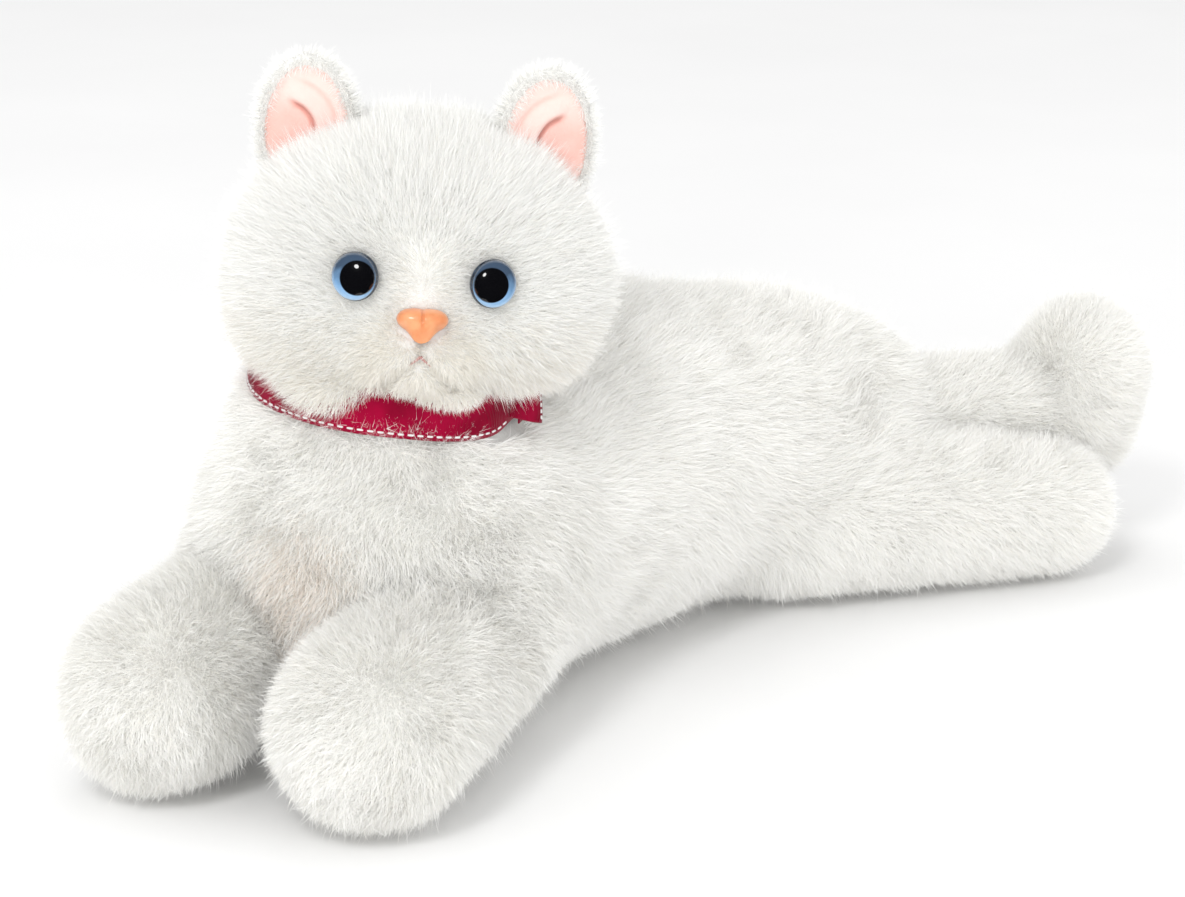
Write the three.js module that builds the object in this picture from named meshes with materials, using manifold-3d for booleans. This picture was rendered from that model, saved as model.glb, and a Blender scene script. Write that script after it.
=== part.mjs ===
// A lying plush cat: sewn fur-fabric covers filled with fibre, joined so that the head, ears, legs and tail flop.
// Millimetres, +Z up. The cat lies on its belly on z = 0 and faces -Y; its own left side is +X.
// Its body is bent like a shallow arc: forelegs, hind legs and tail all lean towards +X.
import * as THREE from "three";
import { ConvexGeometry } from "three/addons/geometries/ConvexGeometry.js";
import { mergeVertices } from "three/addons/utils/BufferGeometryUtils.js";
import Module from "manifold-3d";

const wasm = await Module();
wasm.setup();

// ---- driving dimensions ----
const MIDDLE = { x: -12.35, y: 98.16 }; // middle of the bounding box, which becomes the origin
const COVER = 8; // fur fabric: backing and crushed pile
const GAP = 0.6; // clearance between neighbours that don't move
const PLAY = 1.4; // clearance round a piece that moves
const SLACK = 0.5; // clearance between a cover and its filling
const SIDES = 12; // facets round a limb
const ARC = 3; // steps along a quarter round

const FRONT = { x: -15, y: -27, yaw: 21 }; // the chest and forelegs
const REAR = { x: -44, y: 194, yaw: -29.5 }; // the rump, hind legs and tail
const HEAD = { x: -6, y: -12.5, z: 168, yaw: 48.4, roll: 4 };

const CHEST = { z: 104, r: 54 };
const BELLY = { y: 10, z: 62, r: 67 };
const BACK = { x: -49, y: 93, z: 66, r: 66.5 };
const RUMP = { z: 60, r: 61 };
const NECK = { x: 5, y: 2, z: 122, r: 38 }; // the ball of stuffing that the head turns on
const COLLAR = { r: 48, thick: 1.2, wide: 16, up: 10, tilt: -2, roll: 7.5 };
const RIBBON_END = { at: 84, long: 15, pinch: 7, flare: 12 };
const COLLAR_DIP = 3; // how far the sloping collar's low side moves as the head turns
const COLLAR_ROOM = 3; // clearance outside the ribbon, for its tied end
const THREAD_ROOM = { in: 0.3, thick: 0.8, up: 1.5 }; // the edge stitching lies just inside the ribbon

const SKULL = { z: 3, size: [65.5, 57.5, 52.5] };
const CHEEK = { x: 26, y: -4, z: -14, size: [34, 45, 33] };
const MUZZLE = { y: -44, z: -17, size: [25, 22, 20] };
const BELLY_TUCK = 6; // how much slimmer the chest's bar ends than the belly's
const EYE = { x: 24, y: -52, z: 9, r: 8.3, dome: 5.2, stemR: 2, stem: 15, turn: 22, tip: -6 };
const NOSE = { y: -61, z: -5, wide: 17, high: 12, deep: 5, stemR: 2, tip: -22 };
const WASHER = { r: 7.5, hole: 2.4, thick: 1.6, at: 10 };
const MOUTH = { z: -17, r: 0.6, arm: 6.5, drop: 6, proud: 1.5 };
const HEAD_ROOM = { x: -8, y: -15, z: 169, size: [80, 84, 65] };
const EAR = { x: 40.5, y: 7, z: 33, wide: 17.5, high: 39, thick: 6, lean: 3, toeOut: 8, rim: 3, lining: 1.6 };

const FORELEG = { x: 39, y: -15, z: 44, r: 34, toX: 41, toY: -84, toR: 36 };
const HINDLEG = { x: 29, y: 28, z: 31, r: 27.5, toX: 28.5, toY: 117, toR: 28 };
const TAIL = { y: 44, z: 64, r: 21.5, midY: 102, midZ: 61, tipY: 148, tipZ: 76, tipR: 29.1 };
const PELLETS = { x: -41, y: 78, z: 25, yaw: 12, size: [28, 44, 9] };

// How far each soft joint gives, in degrees; the neighbours are cut clear of these sweeps.
// The head turns 25 degrees each way inside a round room, so it needs no sweep.
const TURN = { nodDown: 6, nodUp: 9, foreleg: 18, hindleg: 20, tail: 30, ear: 20 };

const rad = THREE.MathUtils.degToRad;
const X = new THREE.Vector3(1, 0, 0);
const Z = new THREE.Vector3(0, 0, 1);
const at = (x, y, z) => new THREE.Vector3(x, y, z);

// ---- materials ----
const cloth = (color, roughness = 0.95) => new THREE.MeshStandardMaterial({ color, roughness, metalness: 0 });
const FUR = cloth(0xf1f0ec);
const FILLING = cloth(0xf7f7f5);
const PINK = cloth(0xf0bdb2);
const RIBBON = cloth(0xb8063f, 0.4);
const THREAD = cloth(0xf4f2ee, 0.7);
const MOUTH_THREAD = cloth(0x8d5a55, 0.8);
const PELLET_CLOTH = cloth(0xdcdad2, 0.9);
const EYE_PLASTIC = cloth(0x6f93bd, 0.1);
const NOSE_PLASTIC = cloth(0xe79a70, 0.25);
const WASHER_PLASTIC = cloth(0xd8d8d4, 0.5);

// ---- solids ----
function solid(geometry) {
  const bare = geometry.clone();
  bare.deleteAttribute("normal");
  bare.deleteAttribute("uv");
  const merged = mergeVertices(bare, 1e-3);
  return new wasm.Manifold(
    new wasm.Mesh({
      numProp: 3,
      vertProperties: merged.attributes.position.array,
      triVerts: new Uint32Array(merged.index.array),
    }),
  );
}

function geometryOf(manifold) {
  const { vertProperties, triVerts, numProp } = manifold.getMesh();
  const geometry = new THREE.BufferGeometry();
  const positions = new Float32Array((vertProperties.length / numProp) * 3);
  for (let i = 0; i < positions.length / 3; i++) {
    positions.set(vertProperties.subarray(i * numProp, i * numProp + 3), i * 3);
  }
  geometry.setAttribute("position", new THREE.BufferAttribute(positions, 3));
  geometry.setIndex(new THREE.BufferAttribute(triVerts, 1));
  geometry.computeVertexNormals();
  return geometry;
}

const moved = (shape, matrix) => shape.transform(matrix.elements);
const union = (shapes) => shapes.reduce((all, next) => all.add(next));
const less = (shape, cuts) => cuts.reduce((rest, cut) => rest.subtract(cut), shape);

function turnAbout(pivot, axis, degrees) {
  const there = new THREE.Matrix4().makeTranslation(pivot);
  const back = new THREE.Matrix4().makeTranslation(pivot.clone().negate());
  return there.multiply(new THREE.Matrix4().makeRotationAxis(axis, rad(degrees))).multiply(back);
}

function cornersOf(manifold) {
  const { vertProperties, numProp } = manifold.getMesh();
  const corners = [];
  for (let i = 0; i < vertProperties.length; i += numProp) {
    corners.push(new THREE.Vector3().fromArray(vertProperties, i));
  }
  return corners;
}

// The convex space round a shape as it turns between two angles.
function sweep(shape, pivot, axis, from, to) {
  const corners = [];
  for (const angle of [from, to]) {
    corners.push(...cornersOf(moved(shape, turnAbout(pivot, axis, angle))));
  }
  return solid(new ConvexGeometry(corners));
}

function ellipsoid(center, size, grow = 0, segments = SIDES) {
  const ball = new THREE.SphereGeometry(1, segments, segments * 0.6);
  ball.rotateX(Math.PI / 2);
  ball.scale(size[0] + grow, size[1] + grow, size[2] + grow);
  ball.translate(center.x, center.y, center.z);
  return solid(ball);
}

// A round bar between two balls, turned on a lathe and stood along the line between their centres.
function limb(from, fromR, to, toR, grow = 0, sides = SIDES) {
  const length = from.distanceTo(to);
  const r0 = fromR + grow;
  const r1 = toR + grow;
  const slope = Math.asin((r0 - r1) / length);
  const profile = [];
  for (let i = 0; i <= ARC; i++) {
    const a = -Math.PI / 2 + ((slope + Math.PI / 2) * i) / ARC;
    profile.push(new THREE.Vector2(r0 * Math.cos(a), r0 * Math.sin(a)));
  }
  for (let i = 0; i <= ARC; i++) {
    const a = slope + ((Math.PI / 2 - slope) * i) / ARC;
    profile.push(new THREE.Vector2(r1 * Math.cos(a), length + r1 * Math.sin(a)));
  }
  profile[0].x = 0;
  profile[profile.length - 1].x = 0;
  const bar = new THREE.LatheGeometry(profile, sides);
  const way = to.clone().sub(from).normalize();
  bar.applyQuaternion(new THREE.Quaternion().setFromUnitVectors(new THREE.Vector3(0, 1, 0), way));
  bar.translate(from.x, from.y, from.z);
  return solid(bar);
}

// A round bar bent along a smooth line through several centres, swelling from one radius to the next.
function bentBar(points, radii, grow = 0, sides = SIDES) {
  const line = new THREE.CatmullRomCurve3(points);
  const swell = new THREE.SplineCurve(radii.map((r, i) => new THREE.Vector2(i, r + grow)));
  const length = line.getLength();
  const profile = [];
  const steps = ARC * (points.length - 1);
  for (let i = 0; i < ARC; i++) {
    const a = (Math.PI / 2) * (i / ARC);
    profile.push([(radii[0] + grow) * Math.sin(a), -(radii[0] + grow) * Math.cos(a)]);
  }
  for (let i = 0; i <= steps; i++) {
    profile.push([swell.getPoint(i / steps).y, (length * i) / steps]);
  }
  const last = radii[radii.length - 1] + grow;
  for (let i = 1; i <= ARC; i++) {
    const a = (Math.PI / 2) * (i / ARC);
    profile.push([i === ARC ? 0 : last * Math.cos(a), length + last * Math.sin(a)]);
  }
  const bar = new THREE.LatheGeometry(profile.map(([r, h]) => new THREE.Vector2(r, h)), sides);
  const corners = bar.attributes.position;
  for (let i = 0; i < corners.count; i++) {
    const along = THREE.MathUtils.clamp(corners.getY(i) / length, 0, 1);
    const way = line.getTangentAt(along);
    const across = way.clone().cross(Z).normalize();
    const up = across.clone().cross(way);
    const spot = line.getPointAt(along);
    spot.addScaledVector(way, corners.getY(i) - along * length);
    spot.addScaledVector(across, corners.getX(i));
    spot.addScaledVector(up, corners.getZ(i));
    corners.setXYZ(i, spot.x, spot.y, spot.z);
  }
  return solid(bar);
}

function lathe(points, sides = SIDES) {
  const shape = new THREE.LatheGeometry(points.map(([r, h]) => new THREE.Vector2(r, h)), sides);
  return shape.rotateX(Math.PI / 2);
}

const ring = (inner, outer, low, high, sides = 24) =>
  lathe([[inner, low], [outer, low], [outer, high], [inner, high], [inner, low]], sides);
const disc = (r, low, high, sides) => lathe([[0, low], [r, low], [r, high], [0, high]], sides);
const AIR = solid(new THREE.BoxGeometry(900, 900, 600).translate(0, 0, 300));
const aboveGround = (shape, height = 0) => shape.intersect(AIR.translate([0, 0, height]));

// ---- frames of the front, rear, neck and head ----
function frameOf({ x, y, z = 0, yaw = 0, tilt = 0, roll = 0 }) {
  const group = new THREE.Group();
  group.position.set(x, y, z);
  group.rotation.set(rad(tilt), rad(roll), rad(yaw), "ZYX");
  group.updateMatrixWorld(true);
  return group;
}

const cat = new THREE.Group();
const front = frameOf(FRONT);
const rear = frameOf(REAR);
const head = frameOf(HEAD);
const neckPoint = at(NECK.x, NECK.y, NECK.z).applyMatrix4(front.matrixWorld);
const neck = frameOf({ x: neckPoint.x, y: neckPoint.y, z: neckPoint.z, yaw: FRONT.yaw });
const collar = frameOf({
  x: neckPoint.x,
  y: neckPoint.y,
  z: neckPoint.z + COLLAR.up,
  yaw: FRONT.yaw,
  tilt: COLLAR.tilt,
  roll: COLLAR.roll,
});
const inFront = (x, y, z) => at(x, y, z).applyMatrix4(front.matrixWorld);
const inRear = (x, y, z) => at(x, y, z).applyMatrix4(rear.matrixWorld);

function add(name, shape, material, group = cat) {
  const mesh = new THREE.Mesh(shape.isBufferGeometry ? shape : geometryOf(shape), material);
  mesh.name = name;
  group.add(mesh);
  return mesh;
}

// ---- outer forms ----
function torsoForm(grow = 0) {
  const chest = inFront(0, 0, CHEST.z);
  const belly = inFront(0, BELLY.y, BELLY.z);
  const back = at(BACK.x, BACK.y, BACK.z);
  const rump = inRear(0, 0, RUMP.z);
  const trunk = bentBar([belly, back, rump], [BELLY.r, BACK.r, RUMP.r], grow, 18);
  return trunk.add(limb(chest, CHEST.r, belly, BELLY.r - BELLY_TUCK, grow, 14));
}

function headForm(grow = 0) {
  const parts = [ellipsoid(at(0, 0, SKULL.z), SKULL.size, grow, 18)];
  for (const side of [-1, 1]) {
    parts.push(ellipsoid(at(side * CHEEK.x, CHEEK.y, CHEEK.z), CHEEK.size, grow, 12));
  }
  parts.push(ellipsoid(at(0, MUZZLE.y, MUZZLE.z), MUZZLE.size, grow, 12));
  return union(parts);
}

function forelegForm(side, grow = 0) {
  const shoulder = at(side * FORELEG.x, FORELEG.y, FORELEG.z);
  const paw = at(side * FORELEG.toX, FORELEG.toY, FORELEG.toR);
  return limb(shoulder, FORELEG.r, paw, FORELEG.toR, grow);
}

function hindlegForm(side, grow = 0) {
  const hip = at(side * HINDLEG.x, HINDLEG.y, HINDLEG.z);
  const foot = at(side * HINDLEG.toX, HINDLEG.toY, HINDLEG.toR);
  return limb(hip, HINDLEG.r, foot, HINDLEG.toR, grow);
}

function tailForm(grow = 0) {
  const root = at(0, TAIL.y, TAIL.z);
  const middle = at(0, TAIL.midY, TAIL.midZ);
  const tip = at(0, TAIL.tipY, TAIL.tipZ);
  return bentBar([root, middle, tip], [TAIL.r, TAIL.r, TAIL.tipR], grow);
}

// An upright plate with a rounded tip; middle is how far its mid-plane lies in front of the ear's.
function earPlate(side, wide, high, deep, middle, foot = 0) {
  const outline = new THREE.Shape();
  outline.moveTo(-wide, -foot);
  outline.bezierCurveTo(-wide, high * 0.55, -wide * 0.55, high, 0, high);
  outline.bezierCurveTo(wide * 0.55, high, wide, high * 0.55, wide, -foot);
  outline.closePath();
  const plate = new THREE.ExtrudeGeometry(outline, { depth: deep, bevelEnabled: false, curveSegments: 5 });
  plate.rotateX(Math.PI / 2);
  plate.translate(0, middle + deep / 2, 0);
  return moved(solid(plate), earPlace(side));
}

const earForm = (side, grow = 0) =>
  earPlate(side, EAR.wide + grow, EAR.high + grow, EAR.thick + 2 * grow, 0, grow);

function earPlace(side) {
  const place = new THREE.Matrix4().makeTranslation(side * EAR.x, EAR.y, EAR.z);
  const lean = new THREE.Euler(0, rad(side * EAR.lean), rad(side * EAR.toeOut), "ZYX");
  return place.multiply(new THREE.Matrix4().makeRotationFromEuler(lean));
}

// ---- sweeps of the moving pieces, in the cat's own frame ----
const COLLAR_TOP = 90; // tall enough to reach past the neck

// A round room that the head stays inside as it turns and nods.
const headRoom = (grow) =>
  ellipsoid(at(HEAD_ROOM.x, HEAD_ROOM.y, HEAD_ROOM.z), HEAD_ROOM.size, grow, 14);

function collarSpace(grow) {
  const low = -COLLAR.wide / 2 - COLLAR_DIP - grow;
  return moved(solid(disc(COLLAR.r + COLLAR_ROOM + grow, low, COLLAR_TOP, 18)), collar.matrixWorld);
}

function partSweep(form, frame, pivot, axis, from, to) {
  const way = axis.clone().transformDirection(frame.matrixWorld);
  const point = pivot.clone().applyMatrix4(frame.matrixWorld);
  return sweep(moved(form, frame.matrixWorld), point, way, from, to);
}

const neckForm = (grow) => ellipsoid(at(0, 0, 0), [NECK.r, NECK.r, NECK.r], grow);
const shoulderOf = (side) => at(side * FORELEG.x, FORELEG.y, FORELEG.z);
const hipOf = (side) => at(side * HINDLEG.x, HINDLEG.y, HINDLEG.z);
const tailRoot = at(0, TAIL.y, TAIL.z);

// Everything that the torso stays clear of.
function torsoCuts(grow) {
  const cuts = [headRoom(grow), collarSpace(grow)];
  for (const side of [-1, 1]) {
    cuts.push(partSweep(forelegForm(side, grow), front, shoulderOf(side), X, -TURN.foreleg, 0));
    cuts.push(partSweep(hindlegForm(side, grow), rear, hipOf(side), Z, 0, -side * TURN.hindleg));
  }
  cuts.push(partSweep(tailForm(grow), rear, tailRoot, X, 0, TURN.tail));
  cuts.push(moved(neckForm(grow + GAP), neck.matrixWorld));
  return cuts;
}

// ---- torso: fur cover, fibre filling, and a bag of pellets that keeps the belly down ----
function pelletForm(grow) {
  const lying = new THREE.Matrix4().makeTranslation(PELLETS.x, PELLETS.y, PELLETS.z);
  lying.multiply(new THREE.Matrix4().makeRotationZ(rad(PELLETS.yaw)));
  return moved(ellipsoid(at(0, 0, 0), PELLETS.size, grow), lying);
}

function torsoFilling(grow) {
  return less(aboveGround(torsoForm(grow - COVER), COVER - grow), torsoCuts(COVER - grow));
}

const neckHole = moved(solid(disc(NECK.r / 2, -COLLAR_TOP, 0, 12)), neck.matrixWorld);
const torsoCover = less(aboveGround(torsoForm()), [...torsoCuts(PLAY), torsoFilling(SLACK), neckHole]);
const pocket = [pelletForm(GAP), pelletForm(GAP).translate([0, 0, -PELLETS.size[2]])];
add("torso_cover", torsoCover, FUR);
add("torso_stuffing", less(torsoFilling(0), pocket), FILLING);
add("belly_pellet_bag", pelletForm(0), PELLET_CLOTH);

// ---- neck: a ball of filling, and the ribbon collar with its edge stitching ----
function ribbonEnd() {
  const { long, pinch, flare } = RIBBON_END;
  const outline = new THREE.Shape();
  outline.moveTo(-2, -pinch / 2);
  outline.lineTo(long * 0.5, -pinch / 2);
  outline.lineTo(long, -flare / 2);
  outline.lineTo(long, flare / 2);
  outline.lineTo(long * 0.5, pinch / 2);
  outline.lineTo(-2, pinch / 2);
  outline.closePath();
  const plate = new THREE.ExtrudeGeometry(outline, { depth: COLLAR.thick, bevelEnabled: false });
  plate.rotateX(Math.PI / 2);
  plate.translate(0, -COLLAR.r - 0.2, 0);
  plate.rotateZ(rad(RIBBON_END.at));
  return solid(plate);
}

const half = COLLAR.wide / 2;
const ribbonRing = solid(ring(COLLAR.r, COLLAR.r + COLLAR.thick, -half, half));
const threadOuter = COLLAR.r - THREAD_ROOM.in;
const threadLow = THREAD_ROOM.up - half;
const edgeThread = ring(threadOuter - THREAD_ROOM.thick, threadOuter, threadLow, threadLow + THREAD_ROOM.thick);
add("neck_stuffing", neckForm(0), FILLING, neck);
add("collar_ribbon", ribbonRing.add(ribbonEnd()), RIBBON, collar);
add("collar_edge_thread", edgeThread, THREAD, collar);

// ---- head ----
const toHead = head.matrixWorld.clone().invert();
const neckToHead = toHead.clone().multiply(neck.matrixWorld);
const collarToHead = toHead.clone().multiply(collar.matrixWorld);
const neckInHead = at(0, 0, 0).applyMatrix4(neckToHead);
const neckBall = (grow) => moved(neckForm(grow + GAP), neckToHead);

// The collar as the nodding head sees it.
function collarInHead(grow) {
  const puck = solid(disc(COLLAR.r + COLLAR_ROOM + grow, -COLLAR_TOP, half + grow, 18));
  return sweep(moved(puck, collarToHead), neckInHead, X, -TURN.nodDown, TURN.nodUp);
}

const earPivot = (side) => at(0, 0, 0).applyMatrix4(earPlace(side));
const earAxis = (side) => X.clone().transformDirection(earPlace(side));
const earSweep = (side, grow) =>
  sweep(earForm(side, grow), earPivot(side), earAxis(side), -TURN.ear, TURN.ear);

function place(x, y, z, turn, tip) {
  const matrix = new THREE.Matrix4().makeRotationFromEuler(new THREE.Euler(rad(90 + tip), 0, rad(turn), "ZYX"));
  return matrix.setPosition(x, y, z);
}

const eyePlace = (side) => place(side * EYE.x, EYE.y, EYE.z, side * EYE.turn, EYE.tip);
const nosePlace = place(0, NOSE.y, NOSE.z, 0, NOSE.tip);
const stemHole = (r) => solid(disc(r + 0.3, -COVER * 2, 4, 8));
const seat = (r) => solid(disc(r + 0.6, 0, 30, 16));
const STEM_ROOM = 1.5; // space behind the end of a stem
const washerSpace = (top) => solid(disc(WASHER.r + 2 * GAP, -EYE.stem - STEM_ROOM, top, 10));
const washerRoom = washerSpace(-COVER * 0.6);
const noseWasherRoom = washerSpace(GAP - WASHER.at);

const headCuts = (grow) => [
  neckBall(grow),
  collarInHead(grow),
  earSweep(-1, grow),
  earSweep(1, grow),
];
const fittings = [eyePlace(-1), eyePlace(1), nosePlace];
const headFilling = (grow) => less(headForm(grow - COVER), headCuts(COVER - grow));
const NECK_OPENING = { r: 14, long: 60 };
const openingTop = neckInHead.clone().add(at(0, 0, NECK_OPENING.long));
const neckOpening = limb(neckInHead, NECK_OPENING.r, openingTop, NECK_OPENING.r);
const headCover = less(headForm(), [
  ...headCuts(PLAY),
  headFilling(SLACK),
  neckOpening,
  ...fittings.map((spot) => moved(stemHole(EYE.stemR), spot)),
  moved(seat(EYE.r), eyePlace(-1)),
  moved(seat(EYE.r), eyePlace(1)),
  moved(seat(NOSE.wide / 2 + 0.5), nosePlace),
  moved(noseWasherRoom, nosePlace),
]);
add("head_cover", headCover, FUR, head);
add("head_stuffing", less(headFilling(0), fittings.map((spot) => moved(washerRoom, spot))), FILLING, head);

function addAt(name, shape, material, matrix) {
  const mesh = add(name, shape, material, head);
  matrix.decompose(mesh.position, mesh.quaternion, mesh.scale);
}

// A safety eye: one turned piece, a dome on a flat back with a stem behind it.
function eyeForm() {
  const profile = [[0, -EYE.stem], [EYE.stemR, -EYE.stem], [EYE.stemR, 0.2], [EYE.r, 0.2], [EYE.r, 1]];
  for (let i = 1; i <= 4; i++) {
    const a = (Math.PI / 2) * (i / 4);
    profile.push([i === 4 ? 0 : EYE.r * Math.cos(a), 1 + EYE.dome * Math.sin(a)]);
  }
  return lathe(profile, 16);
}

const washer = () => ring(WASHER.hole, WASHER.r, -WASHER.at - WASHER.thick, -WASHER.at, 12);

function noseForm() {
  const w = NOSE.wide / 2;
  const h = NOSE.high / 2;
  const outline = new THREE.Shape();
  outline.moveTo(0, -h);
  outline.bezierCurveTo(w * 0.5, -h, w, h * 0.1, w, h * 0.55);
  outline.bezierCurveTo(w, h, w * 0.5, h, 0, h * 0.85);
  outline.bezierCurveTo(-w * 0.5, h, -w, h, -w, h * 0.55);
  outline.bezierCurveTo(-w, h * 0.1, -w * 0.5, -h, 0, -h);
  const block = new THREE.ExtrudeGeometry(outline, {
    depth: NOSE.deep - 2.4,
    bevelThickness: 1.2,
    bevelSize: 1,
    bevelOffset: -1,
    bevelSegments: 2,
    curveSegments: 4,
  });
  block.translate(0, 0, 1.4);
  const stem = disc(NOSE.stemR, -EYE.stem, 2.2, 8);
  return solid(block).add(solid(stem));
}

for (const [side, name] of [[1, "left"], [-1, "right"]]) {
  addAt("eye_" + name, eyeForm(), EYE_PLASTIC, eyePlace(side));
  addAt("eye_washer_" + name, washer(), WASHER_PLASTIC, eyePlace(side));
}
addAt("nose", noseForm(), NOSE_PLASTIC, nosePlace);
addAt("nose_washer", washer(), WASHER_PLASTIC, nosePlace);

// The mouth: one thread sewn as two short arms that fall away from its middle.
function mouthPoint(x, z) {
  const [sx, sy, sz] = MUZZLE.size;
  const reach = Math.sqrt(1 - (x / sx) ** 2 - ((z - MUZZLE.z) / sz) ** 2);
  return at(x, MUZZLE.y - sy * reach - MOUTH.proud, z);
}

const mouthTop = mouthPoint(0, MOUTH.z);
const mouthArm = (side) => limb(mouthTop, MOUTH.r, mouthPoint(side * MOUTH.arm, MOUTH.z - MOUTH.drop), MOUTH.r, 0, 6);
add("mouth_thread", mouthArm(1).add(mouthArm(-1)), MOUTH_THREAD, head);

// ---- ears: a fur back with a hollow front, and a pink lining set into it ----
function earLining(side, grow) {
  const deep = EAR.lining + 2 * grow;
  return earPlate(side, EAR.wide - EAR.rim + grow, EAR.high - EAR.rim + grow, deep, EAR.lining / 2 - EAR.thick / 2);
}

for (const [side, name] of [[1, "left"], [-1, "right"]]) {
  const ear = new THREE.Group();
  head.add(ear);
  add("ear_back_" + name, less(earForm(side), [earLining(side, SLACK)]), FUR, ear);
  add("ear_lining_" + name, earLining(side, 0), PINK, ear);
}

// ---- legs and tail: each a fur cover, open inside the body, with its own filling ----
const LIMB_OPENING = { r: 9, long: 60 };

function addLimb(name, form, frame, root, cuts = []) {
  const inside = root.clone().add(at(0, -form.way * LIMB_OPENING.long, 0));
  const opening = limb(root, LIMB_OPENING.r, inside, LIMB_OPENING.r);
  const cover = less(form.make(0), [...cuts, less(form.make(SLACK - COVER), form.inner), opening]);
  add(name + "_cover", cover, FUR, frame);
  add(name + "_stuffing", less(form.make(-COVER), form.inner), FILLING, frame);
}

for (const [side, name] of [[1, "left"], [-1, "right"]]) {
  const arm = { make: (grow) => forelegForm(side, grow), inner: [], way: -1 };
  addLimb("foreleg_" + name, arm, front, shoulderOf(side));
  const tailSpace = (grow) => sweep(tailForm(grow), hipOf(side), Z, 0, side * TURN.hindleg);
  const leg = { make: (grow) => hindlegForm(side, grow), inner: [tailSpace(COVER)], way: 1 };
  addLimb("hindleg_" + name, leg, rear, hipOf(side), [tailSpace(PLAY)]);
}
addLimb("tail", { make: tailForm, inner: [], way: 1 }, rear, tailRoot);

cat.add(front, rear, neck, collar, head);
cat.position.set(-MIDDLE.x, -MIDDLE.y, 0);
export default cat;
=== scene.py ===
"""A white plush cat lying down, with a satin ribbon collar.

Shapes are worked out in millimetres, and meshes are made in metres.
"""
import math

import bmesh
import bpy
import numpy as np
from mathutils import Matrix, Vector


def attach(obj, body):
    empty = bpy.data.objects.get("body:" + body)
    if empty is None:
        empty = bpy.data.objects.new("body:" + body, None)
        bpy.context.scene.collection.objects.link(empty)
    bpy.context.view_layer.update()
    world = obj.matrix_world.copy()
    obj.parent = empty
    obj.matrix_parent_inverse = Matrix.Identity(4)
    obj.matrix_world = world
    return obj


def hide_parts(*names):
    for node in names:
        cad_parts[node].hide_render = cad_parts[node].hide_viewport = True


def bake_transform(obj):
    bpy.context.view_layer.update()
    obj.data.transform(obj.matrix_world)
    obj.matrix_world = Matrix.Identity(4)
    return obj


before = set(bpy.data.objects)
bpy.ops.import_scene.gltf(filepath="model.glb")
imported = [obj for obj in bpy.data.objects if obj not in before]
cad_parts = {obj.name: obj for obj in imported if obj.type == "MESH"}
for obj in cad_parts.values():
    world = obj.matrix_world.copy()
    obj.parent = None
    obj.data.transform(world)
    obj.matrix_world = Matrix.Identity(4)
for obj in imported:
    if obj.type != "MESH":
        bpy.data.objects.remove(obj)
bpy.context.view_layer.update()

MM = 0.001


# ---- vectors, places and distance functions ----
def vec(*numbers):
    return np.array(numbers, float)


def turn(axis, degrees):
    c, s = math.cos(math.radians(degrees)), math.sin(math.radians(degrees))
    if axis == "x":
        return np.array([[1, 0, 0], [0, c, -s], [0, s, c]], float)
    if axis == "y":
        return np.array([[c, 0, s], [0, 1, 0], [-s, 0, c]], float)
    return np.array([[c, -s, 0], [s, c, 0], [0, 0, 1]], float)


class Place:
    """An origin and three axes in which a part of the cat is described."""

    def __init__(self, origin, axes):
        self.origin = np.asarray(origin, float)
        self.axes = axes

    def point(self, x, y, z):
        return self.origin + self.axes @ vec(x, y, z)

    def points(self, local):
        return self.origin + np.asarray(local, float) @ self.axes.T

    def local(self, world):
        return (np.asarray(world, float) - self.origin) @ self.axes

    def direction(self, x, y, z):
        return self.axes @ vec(x, y, z)

    def inside(self, x, y, z, axes):
        return Place(self.point(x, y, z), self.axes @ axes)


def unit(v):
    return v / np.maximum(np.linalg.norm(v, axis=-1, keepdims=True), 1e-9)


def smooth_step(low, high, value):
    t = np.clip((value - low) / (high - low), 0.0, 1.0)
    return t * t * (3 - 2 * t)


def round_cone(p, a, b, ra, rb):
    """Distance to a bar with a ball of its own size at each end."""
    ba = b - a
    length2 = ba @ ba
    step = ra - rb
    slant = length2 - step * step
    inverse = 1.0 / length2
    pa = p - a
    y = pa @ ba
    z = y - length2
    x2 = ((pa * length2 - np.outer(y, ba)) ** 2).sum(1)
    y2 = y * y * length2
    z2 = z * z * length2
    side = np.sign(step) * step * step * x2
    far = np.sqrt(x2 + z2) * inverse - rb
    near = np.sqrt(x2 + y2) * inverse - ra
    wall = (np.sqrt(x2 * slant * inverse) + y * step) * inverse - ra
    return np.where(np.sign(z) * slant * z2 > side, far, np.where(np.sign(y) * slant * y2 < side, near, wall))


def ellipsoid(q, centre, radii):
    q = q - vec(*centre)
    r = vec(*radii)
    k0 = np.linalg.norm(q / r, axis=1)
    k1 = np.linalg.norm(q / (r * r), axis=1)
    return k0 * (k0 - 1.0) / np.maximum(k1, 1e-9)


def blend_in(a, b, k):
    """Smooth union of two distances."""
    h = np.maximum(k - np.abs(a - b), 0.0) / k
    return np.minimum(a, b) - h * h * k * 0.25


def blend_cut(a, b, k):
    """Smooth intersection of two distances."""
    return -blend_in(-a, -b, k)


# ---- the cat's frames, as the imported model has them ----
FRONT = Place(vec(-2.65, -125.16, 0), turn("z", 21))
REAR = Place(vec(-31.65, 95.84, 0), turn("z", -29.5))
HEAD = Place(vec(6.35, -110.66, 168), turn("z", 48.4) @ turn("y", 4))
COLLAR = Place(FRONT.point(5, 2, 132), FRONT.axes @ turn("y", 7.5) @ turn("x", -2))

# The balls of the trunk: x, y, z and radius, in the frame of the front or of the rear.
CHEST = (0, 0, 104, 54)
BELLY = (0, 10, 65, 67)
BACK = vec(-36.65, -5.16, 70)
BACK_R = 67
RUMP = (0, 0, 60.5, 61)
LOIN = ((0, 32, 58), (42, 50, 52))

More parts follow.
